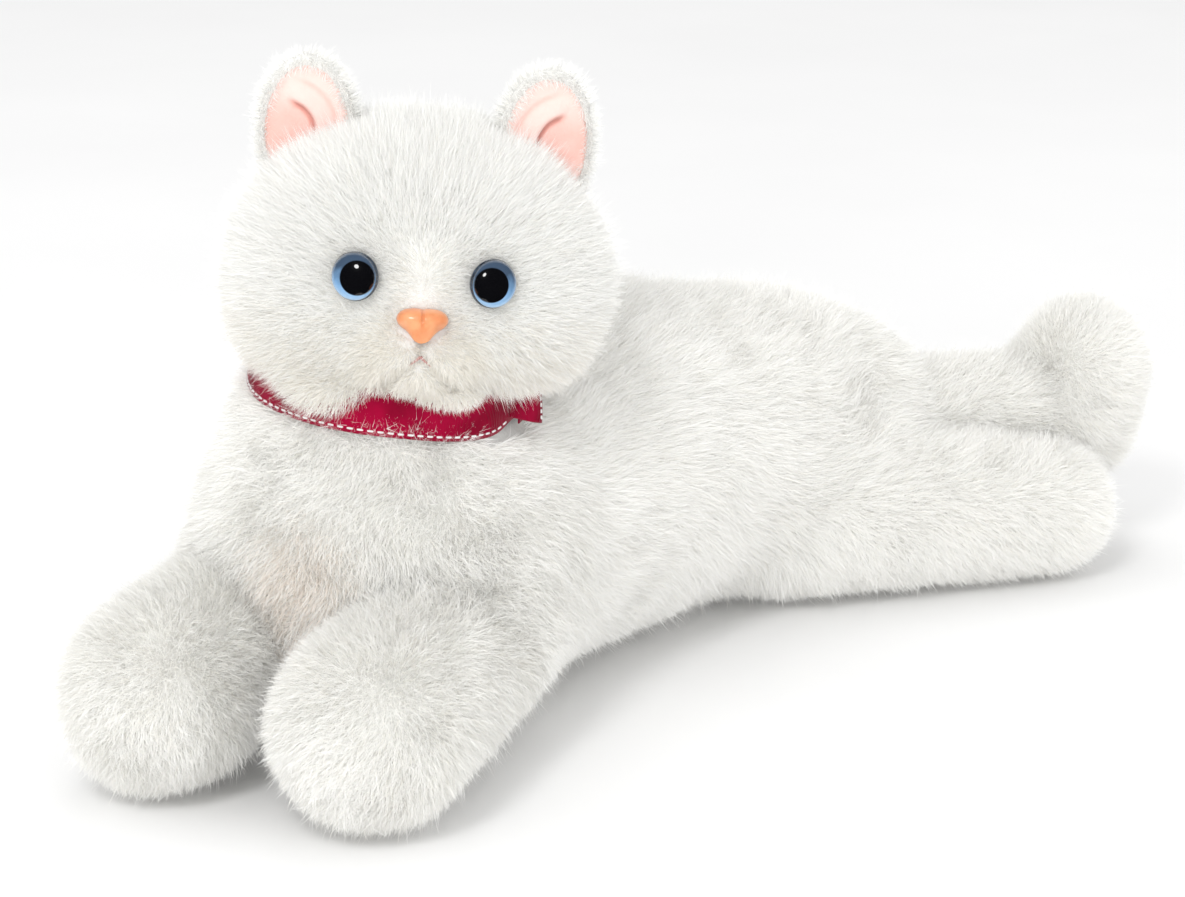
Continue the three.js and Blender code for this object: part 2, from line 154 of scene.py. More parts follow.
# How wide the stuffed forms run into each other.
TRUNK_BLEND = 20
LOIN_BLEND = 16
SHOULDER_BLEND = 14
HIP_BLEND = 16
TAIL_BLEND = 12
TIP_BLEND = 9
FLOOR_BLEND = 8.0

PILE_DEPTH = 6.0  # the crushed pile, between a skin and the outline
FLAT_AT = 1.5  # the underside lies this high, on its pile

LIMB_SHARE = 0.3  # how much of each leg the torso's skin takes in
LIMB_INSET = 1.2
SHOULDER_INSET = 1
HIP_INSET = 4.2

TAIL_STUB = (REAR.point(0, 30, 61), REAR.point(0, 62, 60.6), 26, 25.3)
TAIL_BAR = (REAR.point(0, 44, 61), REAR.point(0, 140, 62), 26.5, 26)
TAIL_TIP = (REAR.point(0, 148, 55), REAR.point(0, 147, 78.5), 24, 30)


def shoulder_ends(side):
    """The near foreleg lies a little further forward and out than the far one."""
    if side == 1:
        return FRONT.point(39, -15, 44), FRONT.point(41, -84, 36), 34, 36
    return FRONT.point(-39, -15, 44), FRONT.point(-40.5, -83.5, 35.6), 34, 35.6


def hip_ends(side):
    return REAR.point(side * 29, 14, 39), REAR.point(side * 28.5, 121, 29), 39, 29


def grounded(p, d):
    """Flattens a form where it lies on the floor."""
    return blend_cut(d, FLAT_AT - p[:, 2], FLOOR_BLEND)


def trunk(p):
    chest, belly, rump = FRONT.point(*CHEST[:3]), FRONT.point(*BELLY[:3]), REAR.point(*RUMP[:3])
    d = round_cone(p, chest, belly, CHEST[3], BELLY[3])
    d = blend_in(d, round_cone(p, belly, BACK, BELLY[3], BACK_R), TRUNK_BLEND)
    d = blend_in(d, round_cone(p, BACK, rump, BACK_R, RUMP[3]), TRUNK_BLEND)
    return blend_in(d, ellipsoid(REAR.local(p), *LOIN), LOIN_BLEND)


def limb_stub(p, ends, inset):
    """The start of a leg, which the torso's skin takes in."""
    a, b, radius = ends[:3]
    return round_cone(p, a, a + (b - a) * LIMB_SHARE, radius - LIMB_INSET, radius - inset)


def torso_skin(p):
    d = trunk(p)
    for side in (-1, 1):
        d = blend_in(d, limb_stub(p, shoulder_ends(side), SHOULDER_INSET), SHOULDER_BLEND)
        d = blend_in(d, limb_stub(p, hip_ends(side), HIP_INSET), HIP_BLEND)
    d = blend_in(d, round_cone(p, *TAIL_STUB), TAIL_BLEND)
    return grounded(p, d + PILE_DEPTH)


def leg_skin(ends):
    return lambda p: grounded(p, round_cone(p, *ends) + PILE_DEPTH)


def tail_skin(p):
    """A thick bar that lies on the hind legs and turns up at its round tip."""
    return blend_in(round_cone(p, *TAIL_BAR), round_cone(p, *TAIL_TIP), TIP_BLEND) + PILE_DEPTH


# The creases of the mouth, as (x, z) in the head's frame: one down from the nose, then one to each side.
MOUTH_TOP = (0, -10)
MOUTH_FORK = (0, -15.4)
MOUTH_END = (10.5, -26.5)
CREASE_HALF = 2.0
FACE_FRONT = -35  # the face lies in front of this y


def groove(q):
    """How close a point of the face is to the creases of the mouth, 0 to 1."""
    x, z = np.abs(q[:, 0]), q[:, 2]
    near = np.full(len(q), np.inf)
    for (ax, az), (bx, bz) in ((MOUTH_TOP, MOUTH_FORK), (MOUTH_FORK, MOUTH_END)):
        dx, dz = bx - ax, bz - az
        t = np.clip(((x - ax) * dx + (z - az) * dz) / (dx * dx + dz * dz), 0, 1)
        near = np.minimum(near, np.hypot(x - ax - t * dx, z - az - t * dz))
    return np.exp(-((near / CREASE_HALF) ** 2)) * (q[:, 1] < FACE_FRONT)


def face_weight(q):
    """1 on the short-piled face, 0 on the long-piled back of the head."""
    reach = np.hypot(q[:, 0] / 1.15, q[:, 2] + 6)
    return smooth_step(-25, -50, q[:, 1]) * (1 - smooth_step(24, 46, reach))


# The stuffed forms of the head: middle, half sizes, and how wide each runs into the skull.
SKULL = ((-1.5, 2, 3), (65.5, 58, 52.5))
CHEEK_RIGHT = ((-26, -6, -20), (34, 44, 33), 18)
CHEEK_LEFT = ((25.5, -4, -9), (33, 45, 29), 18)
CHEEK_FOLD = ((-28, -35, -32.5), (19, 21, 12.5), 10)  # hangs over the ribbon
MUZZLE = ((0, -42, -16), (24, 24, 19), 12)
CHIN = ((10, -43, -31.5), (14, 12, 7), 7)
BRIDGE = ((0, -49, 7), (9, 12, 14), 9)
SOCKET = {"deep": 2.2, "half": 11}
FACE_THINNER = 2.6  # the face's pile is shorter by this, so its skin lies further out
CREASE_DEEP = 2.4


def from_eye(q, side):
    """Distance from the middle of an eye, in the head's frame."""
    return np.linalg.norm(q - vec(side * 22.8, -54, 8), axis=1)


def head_skin(p):
    q = HEAD.local(p)
    d = ellipsoid(q, *SKULL)
    for middle, half, blend in (CHEEK_RIGHT, CHEEK_LEFT, CHEEK_FOLD, MUZZLE, CHIN, BRIDGE):
        d = blend_in(d, ellipsoid(q, middle, half), blend)
    for side in (-1, 1):
        d = d + SOCKET["deep"] * np.exp(-((from_eye(q, side) / SOCKET["half"]) ** 2))
    return d + PILE_DEPTH - FACE_THINNER * face_weight(q) + CREASE_DEEP * groove(q)


EAR_HALF = 17.2
EAR_HIGH = 27.5
EAR_THICK = 4.6
EAR_MIDDLE = 13.0


def ear_place(side):
    return HEAD.inside(side * 39.8 - 0.6, 7, 32.4, turn("z", side * 8) @ turn("y", side * 3))


def cupped(q):
    """How far the ear's mid-surface is bent forwards at a point."""
    return 0.014 * q[:, 0] ** 2 + 0.003 * (q[:, 2] - 8) ** 2


def ear_skin(side):
    spot = ear_place(side)

    def form(p):
        q = spot.local(p)
        bent = q.copy()
        bent[:, 1] += cupped(q)
        return ellipsoid(bent, (0, 1.5, EAR_MIDDLE), (EAR_HALF, EAR_THICK, EAR_HIGH))
    return form


# ---- meshes from distance functions ----
CHUNK = 200000  # points worked out at once, to save memory
RELAX_TIMES = 2
AXES = (0, 1, 2)
CORNERS = [(i, j, k) for i in (0, 1) for j in (0, 1) for k in (0, 1)]


def sampled(form, low, high, step):
    """The values of form on a grid."""
    counts = np.ceil((high - low) / step).astype(int) + 1
    lines = [low[i] + step * np.arange(counts[i]) for i in AXES]
    flat = np.stack(np.meshgrid(*lines, indexing="ij"), -1).reshape(-1, 3)
    values = [form(flat[i:i + CHUNK]) for i in range(0, len(flat), CHUNK)]
    return np.concatenate(values).reshape(counts)


def crossed_cells(inside):
    """The cells that the surface passes through, and the number of each on the grid of cells."""
    counts = np.array(inside.shape) - 1
    corner_sum = np.zeros(counts, int)
    for i, j, k in CORNERS:
        corner_sum += inside[i:i + counts[0], j:j + counts[1], k:k + counts[2]]
    active = (corner_sum > 0) & (corner_sum < len(CORNERS))
    cells = np.argwhere(active)
    index = np.full(counts, -1)
    index[active] = np.arange(len(cells))
    return cells, index


def crossing_sums(values, cells):
    """For each cell, the sum and the number of the places where its edges cross the surface."""
    total = np.zeros((len(cells), 3))
    hits = np.zeros(len(cells))
    for axis in AXES:
        others = [a for a in AXES if a != axis]
        for u, v in ((0, 0), (0, 1), (1, 0), (1, 1)):
            start = cells.copy()
            start[:, others[0]] += u
            start[:, others[1]] += v
            end = start.copy()
            end[:, axis] += 1
            a, b = values[tuple(start.T)], values[tuple(end.T)]
            cross = (a < 0) != (b < 0)
            spot = start.astype(float)
            spot[:, axis] += np.where(cross, a / np.where(a == b, 1, a - b), 0)
            total[cross] += spot[cross]
            hits[cross] += 1
    return total, hits


def quads_across(inside, index, axis):
    """A quad round each grid edge along the axis that crosses the surface, facing outwards."""
    u, v = [a for a in AXES if a != axis]
    cross = inside != np.roll(inside, -1, axis=axis)
    inner = [slice(1, -1)] * 3
    inner[axis] = slice(0, -1)
    mask = np.zeros_like(cross)
    mask[tuple(inner)] = cross[tuple(inner)]
    at = np.argwhere(mask)
    corners = []
    for du, dv in ((1, 1), (0, 1), (0, 0), (1, 0)):
        cell = at.copy()
        cell[:, u] -= du
        cell[:, v] -= dv
        corners.append(index[tuple(cell.T)])
    quad = np.stack(corners, 1)
    outward = inside[tuple(at.T)] if axis != 1 else ~inside[tuple(at.T)]
    quad[~outward] = quad[~outward][:, ::-1]
    return quad


def surface(form, low, high, step):
    """A closed quad mesh of the surface where form is zero."""
    low, high = np.asarray(low, float), np.asarray(high, float)
    values = sampled(form, low, high, step)
    inside = values < 0
    cells, index = crossed_cells(inside)
    total, hits = crossing_sums(values, cells)
    verts = low + step * total / hits[:, None]
    quads = np.concatenate([quads_across(inside, index, axis) for axis in AXES])
    for _ in range(RELAX_TIMES):
        verts = settled(form, relaxed(verts, quads))
    return verts, quads


def relaxed(verts, quads):
    """Moves each vertex halfway to the middle of its neighbours."""
    total = np.zeros_like(verts)
    count = np.zeros(len(verts))
    for i in range(4):
        a, b = quads[:, i], quads[:, (i + 1) % 4]
        np.add.at(total, a, verts[b])
        np.add.at(total, b, verts[a])
        np.add.at(count, a, 1)
        np.add.at(count, b, 1)
    return 0.5 * verts + 0.5 * total / np.maximum(count, 1)[:, None]


def slope(form, p, h=0.4):
    """The gradient of form, which points outwards."""
    g = np.zeros_like(p)
    for i in range(3):
        shift = np.zeros(3)
        shift[i] = h
        g[:, i] = (form(p + shift) - form(p - shift)) / (2 * h)
    return g


def settled(form, verts):
    """Moves the vertices onto the surface."""
    for _ in range(2):
        g = slope(form, verts)
        size2 = np.maximum((g * g).sum(1), 0.2)
        verts = verts - g * (form(verts) / size2)[:, None]
    return verts


# ---- seeded noise ----
class Noise:
    """Smooth random vectors, repeated from a small seeded lattice."""

    SIZE = 32

    def __init__(self, seed):
        self.lattice = np.random.default_rng(seed).uniform(-1, 1, (self.SIZE,) * 3 + (3,))

    def at(self, p, scale):
        q = np.asarray(p) / scale
        base = np.floor(q).astype(int)
        f = q - base
        f = f * f * (3 - 2 * f)
        out = np.zeros((len(q), 3))
        for i, j, k in CORNERS:
            weight = np.abs(1 - i - f[:, 0]) * np.abs(1 - j - f[:, 1]) * np.abs(1 - k - f[:, 2])
            out += weight[:, None] * self.in_cell(base + (i, j, k))
        return out

    def in_cell(self, cell):
        return self.lattice[tuple((cell % self.SIZE).T)]


NOISE = Noise(7)


# ---- materials ----
def new_material(name, colour, roughness, **sockets):
    material = bpy.data.materials.new(name)
    material.use_nodes = True
    inputs = shader(material).inputs
    inputs["Base Color"].default_value = (*colour, 1)
    inputs["Roughness"].default_value = roughness
    for key, value in sockets.items():
        inputs[key.replace("_", " ")].default_value = value
    return material


def add_node(material, kind, **values):
    node = material.node_tree.nodes.new(kind)
    for key, value in values.items():
        if key in node.inputs:
            node.inputs[key].default_value = value
        else:
            setattr(node, key, value)
    return node


def wire(material, source, output, target, socket):
    """Joins an output of one node to a socket of another."""
    material.node_tree.links.new(source.outputs[output], target.inputs[socket])


def shader(material):
    return material.node_tree.nodes["Principled BSDF"]


def texture(material, kind, **values):
    """A texture laid out in the object's own space."""
    space = add_node(material, "ShaderNodeTexCoord")
    node = add_node(material, kind, **values)
    wire(material, space, "Object", node, "Vector")
    return node


def colour_ramp(material, stops):
    """A ramp through (position, colour) pairs."""
    ramp = add_node(material, "ShaderNodeValToRGB")
    elements = ramp.color_ramp.elements
    elements[0].position = stops[0][0]
    elements[1].position = stops[-1][0]
    for position, _ in stops[1:-1]:
        elements.new(position)
    for element, (_, colour) in zip(elements, stops):
        element.color = (*colour, 1)
    return ramp


def speckle(material, low, high, scale):
    """Lets the base colour wander between two colours."""
    noise = texture(material, "ShaderNodeTexNoise", Scale=scale, Detail=4.0)
    ramp = colour_ramp(material, [(0.35, low), (0.65, high)])
    wire(material, noise, "Fac", ramp, "Fac")
    wire(material, ramp, "Color", shader(material), "Base Color")


def bumpy(material, scale, strength, distance=0.0004, kind="ShaderNodeTexNoise"):
    bump = add_node(material, "ShaderNodeBump", Strength=strength, Distance=distance)
    wire(material, texture(material, kind, Scale=scale), 0, bump, "Height")
    wire(material, bump, "Normal", shader(material), "Normal")


def varied_roughness(material, low, high, scale):
    noise = texture(material, "ShaderNodeTexNoise", Scale=scale)
    spread = add_node(material, "ShaderNodeMapRange", **{"To Min": low, "To Max": high})
    wire(material, noise, "Fac", spread, "Value")
    wire(material, spread, "Result", shader(material), "Roughness")


def uneven_material(name, colour, roughness, speckles, bumps=None, gloss=None, **sockets):
    """A material with wandering colour, and with bumps and uneven gloss where they are given."""
    material = new_material(name, colour, roughness, **sockets)
    speckle(material, *speckles)
    if gloss:
        varied_roughness(material, *gloss)
    if bumps:
        bumpy(material, *bumps)
    return material


PILE_COLOURS = {
    "pile_white": (0.96, 0.955, 0.935),
    "pile_bright": (0.978, 0.975, 0.96),
    "pile_cool": (0.90, 0.90, 0.885),
    "pile_cream": (0.955, 0.94, 0.895),
    "pile_peach": (0.92, 0.86, 0.80),
    # The darkest pile is painted shade for the muzzle and the low cheeks.
    "pile_face_shade": (0.84, 0.815, 0.76),
}


# ---- mesh objects ----
def placed(name, mesh, materials):
    """Puts a mesh in the scene as a piece."""
    for material in materials:
        mesh.materials.append(material)
    piece = bpy.data.objects.new(name, mesh)
    bpy.context.scene.collection.objects.link(piece)
    return piece


def new_piece(name, verts, faces, materials, smooth=True):
    mesh = bpy.data.meshes.new(name)
    mesh.from_pydata((np.asarray(verts) * MM).tolist(), [], [list(map(int, f)) for f in faces])
    mesh.validate()
    mesh.update()
    if smooth:
        mesh.shade_smooth()
    return placed(name, mesh, materials)


def make_faces_outward(piece):
    work = bmesh.new()
    work.from_mesh(piece.data)
    bmesh.ops.recalc_face_normals(work, faces=work.faces)
    work.to_mesh(piece.data)
    work.free()


def strand_piece(name, verts, tris, slots, materials):
    """A piece of many small triangles, made from arrays."""
    mesh = bpy.data.meshes.new(name)
    mesh.vertices.add(len(verts))
    mesh.vertices.foreach_set("co", (verts * MM).astype(np.float32).ravel())
    mesh.loops.add(len(tris) * 3)
    mesh.loops.foreach_set("vertex_index", tris.astype(np.int32).ravel())
    mesh.polygons.add(len(tris))
    mesh.polygons.foreach_set("loop_start", np.arange(0, len(tris) * 3, 3, dtype=np.int32))
    mesh.polygons.foreach_set("material_index", slots.astype(np.int32))
    mesh.update(calc_edges=True)
    mesh.shade_smooth()
    return placed(name, mesh, materials)


# ---- pile ----
# The backing is a grey darker than the pile: painted shade deep in the pile.
SHADED_BACKING = uneven_material(
    "fur_backing_shade", (0.72, 0.72, 0.70), 0.95, ((0.66, 0.65, 0.63), (0.76, 0.76, 0.74), 60),
    bumps=(900, 0.6, 0.0006), Specular_IOR_Level=0.1)
PILE = [new_material(name, colour, 0.7, Specular_IOR_Level=0.15) for name, colour in PILE_COLOURS.items()]
PEACH = list(PILE_COLOURS).index("pile_peach")
# The pile that paints shade on the muzzle and the low cheeks.
FACE_SHADE_PILE = list(PILE_COLOURS).index("pile_face_shade")
STRANDS_PER_PIECE = 64000
THIN = 1.0  # a draft has fewer strands
GUARD_SHARE = 0.07  # guard hairs stand out of the rest of the pile
GUARD_LENGTH = 1.4
TUFT_CELL = 3.4
TIP_PULL = 0.34  # how far a tip and a middle are drawn to the middle of their tuft
MIDDLE_PULL = 0.12
ROOT_DEPTH = 0.6  # strands start this far under the skin
LOWEST = 0.35  # no strand reaches into the floor
OVERLAP = 0.4


def random_spots(verts, quads, density, rng):
    """Picks spots evenly all over the quads; returns a function that gives vertex values at those spots."""
    corner = verts[quads]
    area = 0.5 * np.linalg.norm(np.cross(corner[:, 2] - corner[:, 0], corner[:, 3] - corner[:, 1]), axis=1)
    count = int(area.sum() * density * THIN)
    face = np.searchsorted(np.cumsum(area) / area.sum(), rng.random(count))
    face = np.minimum(face, len(quads) - 1)
    u, v = rng.random((2, count, 1))

    def at_spots(values):
        c = values[quads[face]]
        return (c[:, 0] * (1 - u) + c[:, 1] * u) * (1 - v) + (c[:, 3] * (1 - u) + c[:, 2] * u) * v
    return at_spots


def can_grow(root, normal, avoid, keep):
    """Not on the underside, not inside another skin, and only where keep allows it."""
    ok = (root[:, 2] > FLAT_AT + 1.0) | (normal[:, 2] > -0.7)
    for other in avoid:
        ok &= other(root) > -OVERLAP
    if keep is not None:
        ok &= keep(root)
    return ok


def along_skin(v, normal):
    return v - normal * (v * normal).sum(1, keepdims=True)


def nap(root, normal, comb, tuft, rng):
    """The way each strand is combed: the comb's own way, with waves, whorls and a little disorder."""
    flow = 0.65 * comb(root)
    flow = flow + tuft * (0.34 * NOISE.at(root, 26) + 0.3 * NOISE.at(root + 300, 9))
    flow = flow + 0.34 * rng.normal(size=(len(root), 3))
    return unit(along_skin(flow, normal))


def leaning(normal, flow, degrees, spread, rng):
    """A way that leans from the normal towards the nap."""
    lean = np.radians(degrees + spread * rng.normal(size=len(normal)))[:, None]
    return normal * np.cos(lean) + flow * np.sin(lean)


def tuft_pull(root, normal, seed):
    """From each root towards the middle of its tuft."""
    box = np.floor(root / TUFT_CELL).astype(int)
    middle = (box + 0.5 + 0.35 * Noise(seed + 1).in_cell(box)) * TUFT_CELL
    return along_skin(middle - root, normal)


def strand_points(root, normal, comb, length, lean, wide, tuft, seed, rng):
    """The five points of each strand: two at its root, two at its middle and one at its tip."""
    count = len(root)
    flow = nap(root, normal, comb, tuft, rng)
    size = length(root) * (1 + 0.16 * NOISE.at(root + 90, 14)[:, 0]) * rng.uniform(0.72, 1.12, count)
    size = size * np.where(rng.random(count) < GUARD_SHARE, GUARD_LENGTH, 1.0)
    way_low = leaning(normal, flow, lean[0], 12, rng)
    way_high = leaning(normal, flow, lean[1], 14, rng)
    half = (size * 0.5)[:, None]
    middle = root + way_low * half
    pull = tuft_pull(root, normal, seed)
    tip = middle + way_high * half + pull * TIP_PULL * min(tuft, 1.0)
    middle = middle + pull * MIDDLE_PULL * min(tuft, 1.0)
    across = unit(np.cross(way_low, unit(normal + 0.3 * rng.normal(size=(count, 3)))))
    facing = (np.cross(across, way_low) * normal).sum(1, keepdims=True)
    across = across * np.where(facing < 0, -1, 1)
    width = (wide * rng.uniform(0.8, 1.25, count))[:, None]
    points = np.stack([
        root - across * width - normal * ROOT_DEPTH,
        root + across * width - normal * ROOT_DEPTH,
        middle - across * width * 0.8,
        middle + across * width * 0.8,
        tip,
    ], 1)
    points[:, :, 2] = np.maximum(points[:, :, 2], LOWEST)
    return points


def strand_pieces(name, points, slot, order):
    """Pieces of three triangles a strand, cut up in the given order."""
    triangles = np.array([[0, 1, 3], [0, 3, 2], [2, 3, 4]])
    pieces = []
    for number, start in enumerate(range(0, len(order), STRANDS_PER_PIECE)):
        part = order[start:start + STRANDS_PER_PIECE]
        tris = (np.arange(len(part))[:, None, None] * 5 + triangles).reshape(-1, 3)
        slots = np.repeat(slot[part], len(triangles))
        piece = strand_piece(f"{name}_{number + 1}", points[part].reshape(-1, 3), tris, slots, PILE)
        pieces.append(piece)
    return pieces


def grow(name, mesh, form, comb, length, density, seed, avoid, lean, wide, tuft,
         keep=None, tint=None, tint_slot=None, shares=(0.42, 0.76, 0.88)):
    """Pile on a skin; returns its pieces. comb, length, keep and tint are functions of the roots."""
    verts, quads = mesh
    rng = np.random.default_rng(seed)
    at_spots = random_spots(verts, quads, density, rng)
    root = at_spots(verts)
    normal = unit(at_spots(unit(slope(form, verts))))
    ok = can_grow(root, normal, avoid, keep)
    root, normal = root[ok], normal[ok]
    points = strand_points(root, normal, comb, length, lean, wide, tuft, seed, rng)
    slot = np.searchsorted(shares, rng.random(len(root)))
    if tint is not None:
        slot = np.where(rng.random(len(root)) < tint(root), tint_slot, slot)
    return strand_pieces(name, points, slot, np.argsort(root[:, 1], kind="stable"))


def body_flow(p):
    """The nap runs down the chest and back along the body."""
    front = FRONT.local(p)
    rear_share = smooth_step(0, 70, front[:, 1])[:, None]
    down_chest = FRONT.direction(0, -0.25, -1)
    ring = COLLAR.local(p)
    angle = np.degrees(np.arctan2(ring[:, 0], -ring[:, 1]))
    brushed_up = np.exp(-(((ring[:, 2] + 9) / 4) ** 2)) * np.exp(-(((angle - 32) / 26) ** 2))
    down_chest = down_chest * (1 - 2.2 * brushed_up)[:, None]
    along = unit(REAR.point(0, 40, 60) - FRONT.point(0, 0, 62)) + vec(0, 0, -0.45)
    return down_chest * (1 - rear_share) + along * rear_share


# ---- torso ----
FORELEG_NAMES = {1: "foreleg_left", -1: "foreleg_right"}
HINDLEG_NAMES = {1: "hindleg_left", -1: "hindleg_right"}
forelegs = {side: leg_skin(shoulder_ends(side)) for side in (-1, 1)}
hindlegs = {side: leg_skin(hip_ends(side)) for side in (-1, 1)}


def peach_chest(p):
    """The faint warm tint between the forelegs."""
    q = FRONT.local(p)
    away = np.sqrt((q[:, 0] / 26) ** 2 + ((q[:, 1] + 55) / 30) ** 2 + ((q[:, 2] - 62) / 34) ** 2)
    return 0.5 * (1 - smooth_step(0.3, 1.2, away))


def add_skin(name, form, low, high, step, replaced):
    """The fabric of a cover; returns its piece and its mesh."""
    mesh = surface(form, low, high, step)
    skin = new_piece(name, *mesh, [SHADED_BACKING])
    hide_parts(replaced)
    return skin, mesh


def even(size):
    """Pile of one length all over."""
    return lambda p: np.full(len(p), size)


def clear_of_ribbon(p):
    """No pile grows under the ribbon or above it on the chest."""
    q = COLLAR.local(p)
    angle = np.degrees(np.arctan2(q[:, 0], -q[:, 1]))
    beside = smooth_step(62, 76, angle) * (1 - smooth_step(108, 120, angle))
    return (q[:, 2] < -7.2 - 6 * beside) | (np.hypot(q[:, 0], q[:, 1]) > 53 + 12 * beside)


torso, torso_mesh = add_skin(
    "torso_fabric", torso_skin, (-115, -200, -6), (75, 185, 165), 4.2, "torso_cover")
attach(torso, "torso")
torso_pile = grow(
    "torso_pile", torso_mesh, torso_skin, body_flow, even(9.5), density=4.0, seed=11,
    avoid=[*forelegs.values(), *hindlegs.values(), tail_skin, head_skin], lean=(20, 42), wide=0.095, tuft=1.9,
    keep=clear_of_ribbon, tint=peach_chest, tint_slot=PEACH)
for piece in torso_pile:
    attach(piece, "torso")


# ---- legs and tail ----
def as_metres(point):
    return tuple(float(v) * MM for v in point)


def add_limb(name, form, ends, radius, comb, bend, seed, avoid):
    """A cover with its pile, for a leg or the tail; the two points of bend are not used."""
    low, high = np.min(ends, axis=0) - radius, np.max(ends, axis=0) + radius
    skin, mesh = add_skin(f"{name}_fabric", form, low, high, 3.6, f"{name}_cover")
    pile = grow(f"{name}_pile", mesh, form, comb, even(8.5), density=4.2, seed=seed, avoid=avoid,
                lean=(22, 44), wide=0.095, tuft=1.3)
    for piece in [skin, *pile]:
        as_metres(bend[0])
        as_metres(bend[1])
        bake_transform(piece)


def one_way(way):
    return lambda p: np.broadcast_to(way, p.shape)


def leg_flow(way):
    return one_way(unit(way) + vec(0, 0, -0.55))


for side, name in FORELEG_NAMES.items():
    bend = FRONT.point(side * 39, -20, 40), FRONT.point(side * 40, -62, 40)
    add_limb(name, forelegs[side], shoulder_ends(side)[:2], 40, leg_flow(FRONT.direction(0, -1, 0)), bend,
             20 + side, [torso_skin, forelegs[-side]])
for side, name in HINDLEG_NAMES.items():
    bend = REAR.point(side * 29, 36, 36), REAR.point(side * 29, 82, 33)
    add_limb(name, hindlegs[side], hip_ends(side)[:2], 44, leg_flow(REAR.direction(0, 1, 0)), bend,
             30 + side, [torso_skin])
bend = REAR.point(0, 48, 61), REAR.point(0, 84, 60)
add_limb("tail", tail_skin, [REAR.point(0, 44, 61), REAR.point(0, 150, 74)], 38,
         one_way(REAR.direction(0, 1, 0.1)), bend, 40, [torso_skin])


# ---- head ----
def face_flow(p):
    """The nap of the face runs outwards from the nose."""
    q = HEAD.local(p)
    out = q - vec(0, -66, 0)
    out[:, 1] *= 0.8
    out[:, 2] = out[:, 2] * 0.9 - 3
    top = smooth_step(5, 40, q[:, 2])[:, None]
    out = unit(out) + top * vec(0, 0.3, -0.1)
    return out @ HEAD.axes.T


def stretched(q, middle, half):
    """Distance from a middle, measured in units that differ along each axis."""
    return np.linalg.norm((q - vec(*middle)) / vec(*half), axis=1)


def shortened(least, near, far, distance):
    """Falls from 1, beyond far, to its least share, within near."""
    return least + (1 - least) * smooth_step(near, far, distance)


def head_length(p):
    """Long pile on the back of the head, short on the face, and shortest round the eyes and the nose."""
    q = HEAD.local(p)
    size = 11.0 - 6.0 * face_weight(q)
    for side in (-1, 1):
        size = size * shortened(0.45, 8, 15, from_eye(q, side))
    size = size * shortened(0.62, 10, 22, stretched(q, (0, -62, -14), (1.2, 1, 1)))
    size = size * shortened(0.5, 5, 15, stretched(q, (0, -60, 8), (0.8, 1, 1.1)))
    for ear in ears.values():
        size = size * shortened(0.5, 0, 9, ear(p))
    ring = COLLAR.local(p)
    over_ribbon = (1 - smooth_step(6, 16, ring[:, 2])) * (ring[:, 1] < 20)
    nose = shortened(0.45, 8, 14, stretched(q, (0, -62, -2), (1, 1, 0.8)))
    return size * (1 - 0.25 * over_ribbon) * nose * (1 - 0.3 * groove(q))


def face_shade_and_bridge(p):
    """The share of the darkest pile: painted shade on the muzzle and the low cheeks, which face down from the
    light, and a darker bridge of the nose.
    """
    q = HEAD.local(p)
    bridge = 1 - smooth_step(6, 18, stretched(q, (0, -60, 7), (0.9, 1, 1.2)))
    muzzle = 1 - smooth_step(12, 24, stretched(q, (0, -60, -18), (1.1, 1, 0.9)))
    cheeks = 1 - smooth_step(-32, 4, q[:, 2])
    return np.clip(0.3 * bridge + 0.9 * muzzle + 0.65 * cheeks, 0, 0.9)


EYE = {"x": 22.8, "y": -52, "z": 9, "r": 8.3, "dome": 5.2, "turn": 22, "tip": -6}
EYE_BASE = 1.0  # the rim's height, where the dome starts
PUPIL = {"in": 2.2, "wide": 5.6, "high": 5.9}
NOSE = {"y": -61, "z": -4, "tip": -22}
NOSE_SCALE = 0.88
NOSE_PLACE = HEAD.inside(0, NOSE["y"], NOSE["z"], turn("x", 90 + NOSE["tip"]))


def eye_place(side):
    axes = turn("z", side * EYE["turn"]) @ turn("x", 90 + EYE["tip"])
    return HEAD.inside(side * EYE["x"], EYE["y"], EYE["z"], axes)


def clear_of_face(p):
    """No pile grows under the eyes or the nose."""
    q = HEAD.local(p)
    ok = np.ones(len(p), bool)
    for side in (-1, 1):
        spot = eye_place(side).local(p)
        ok &= (np.hypot(spot[:, 0], spot[:, 1]) > 7.4) | (q[:, 1] > -20)
    nose = NOSE_PLACE.local(p)
    ok &= (np.hypot(nose[:, 0] / 7.6, nose[:, 1] / 5.6) > 1) | (q[:, 1] > -40)
    return ok


ears = {side: ear_skin(side) for side in (-1, 1)}
head, head_mesh = add_skin("head_fabric", head_skin, HEAD.origin - 76, HEAD.origin + 76, 2.6, "head_cover")
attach(head, "head")
# The head's tint paints shade on the muzzle and the low cheeks.
head_pile = grow("head_pile", head_mesh, head_skin, face_flow, head_length, density=7.0, seed=51,
                 avoid=[torso_skin, *ears.values()], lean=(20, 42), wide=0.08, tuft=0.45, keep=clear_of_face,
                 tint=face_shade_and_bridge, tint_slot=FACE_SHADE_PILE, shares=(0.15, 0.18, 0.88))
for piece in head_pile:
    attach(piece, "head")


# ---- eyes ----
def lathe(profile, sides):
    """Points (radius, height) turned about the local Z axis; ends on the axis are closed."""
    verts, faces, rings = [], [], []
    for r, z in profile:
        if r == 0:
            rings.append([len(verts)])
            verts.append((0, 0, z))
            continue
        ring = []
        for i in range(sides):
            a = 2 * math.pi * i / sides
            ring.append(len(verts))
            verts.append((r * math.cos(a), r * math.sin(a), z))
        rings.append(ring)
    for low, high in zip(rings, rings[1:]):
        for i in range(sides):
            j = (i + 1) % sides
            if len(low) == 1:
                faces.append((low[0], high[j], high[i]))
            elif len(high) == 1:
                faces.append((low[i], low[j], high[0]))
            else:
                faces.append((low[i], low[j], high[j], high[i]))
    return np.array(verts, float), faces


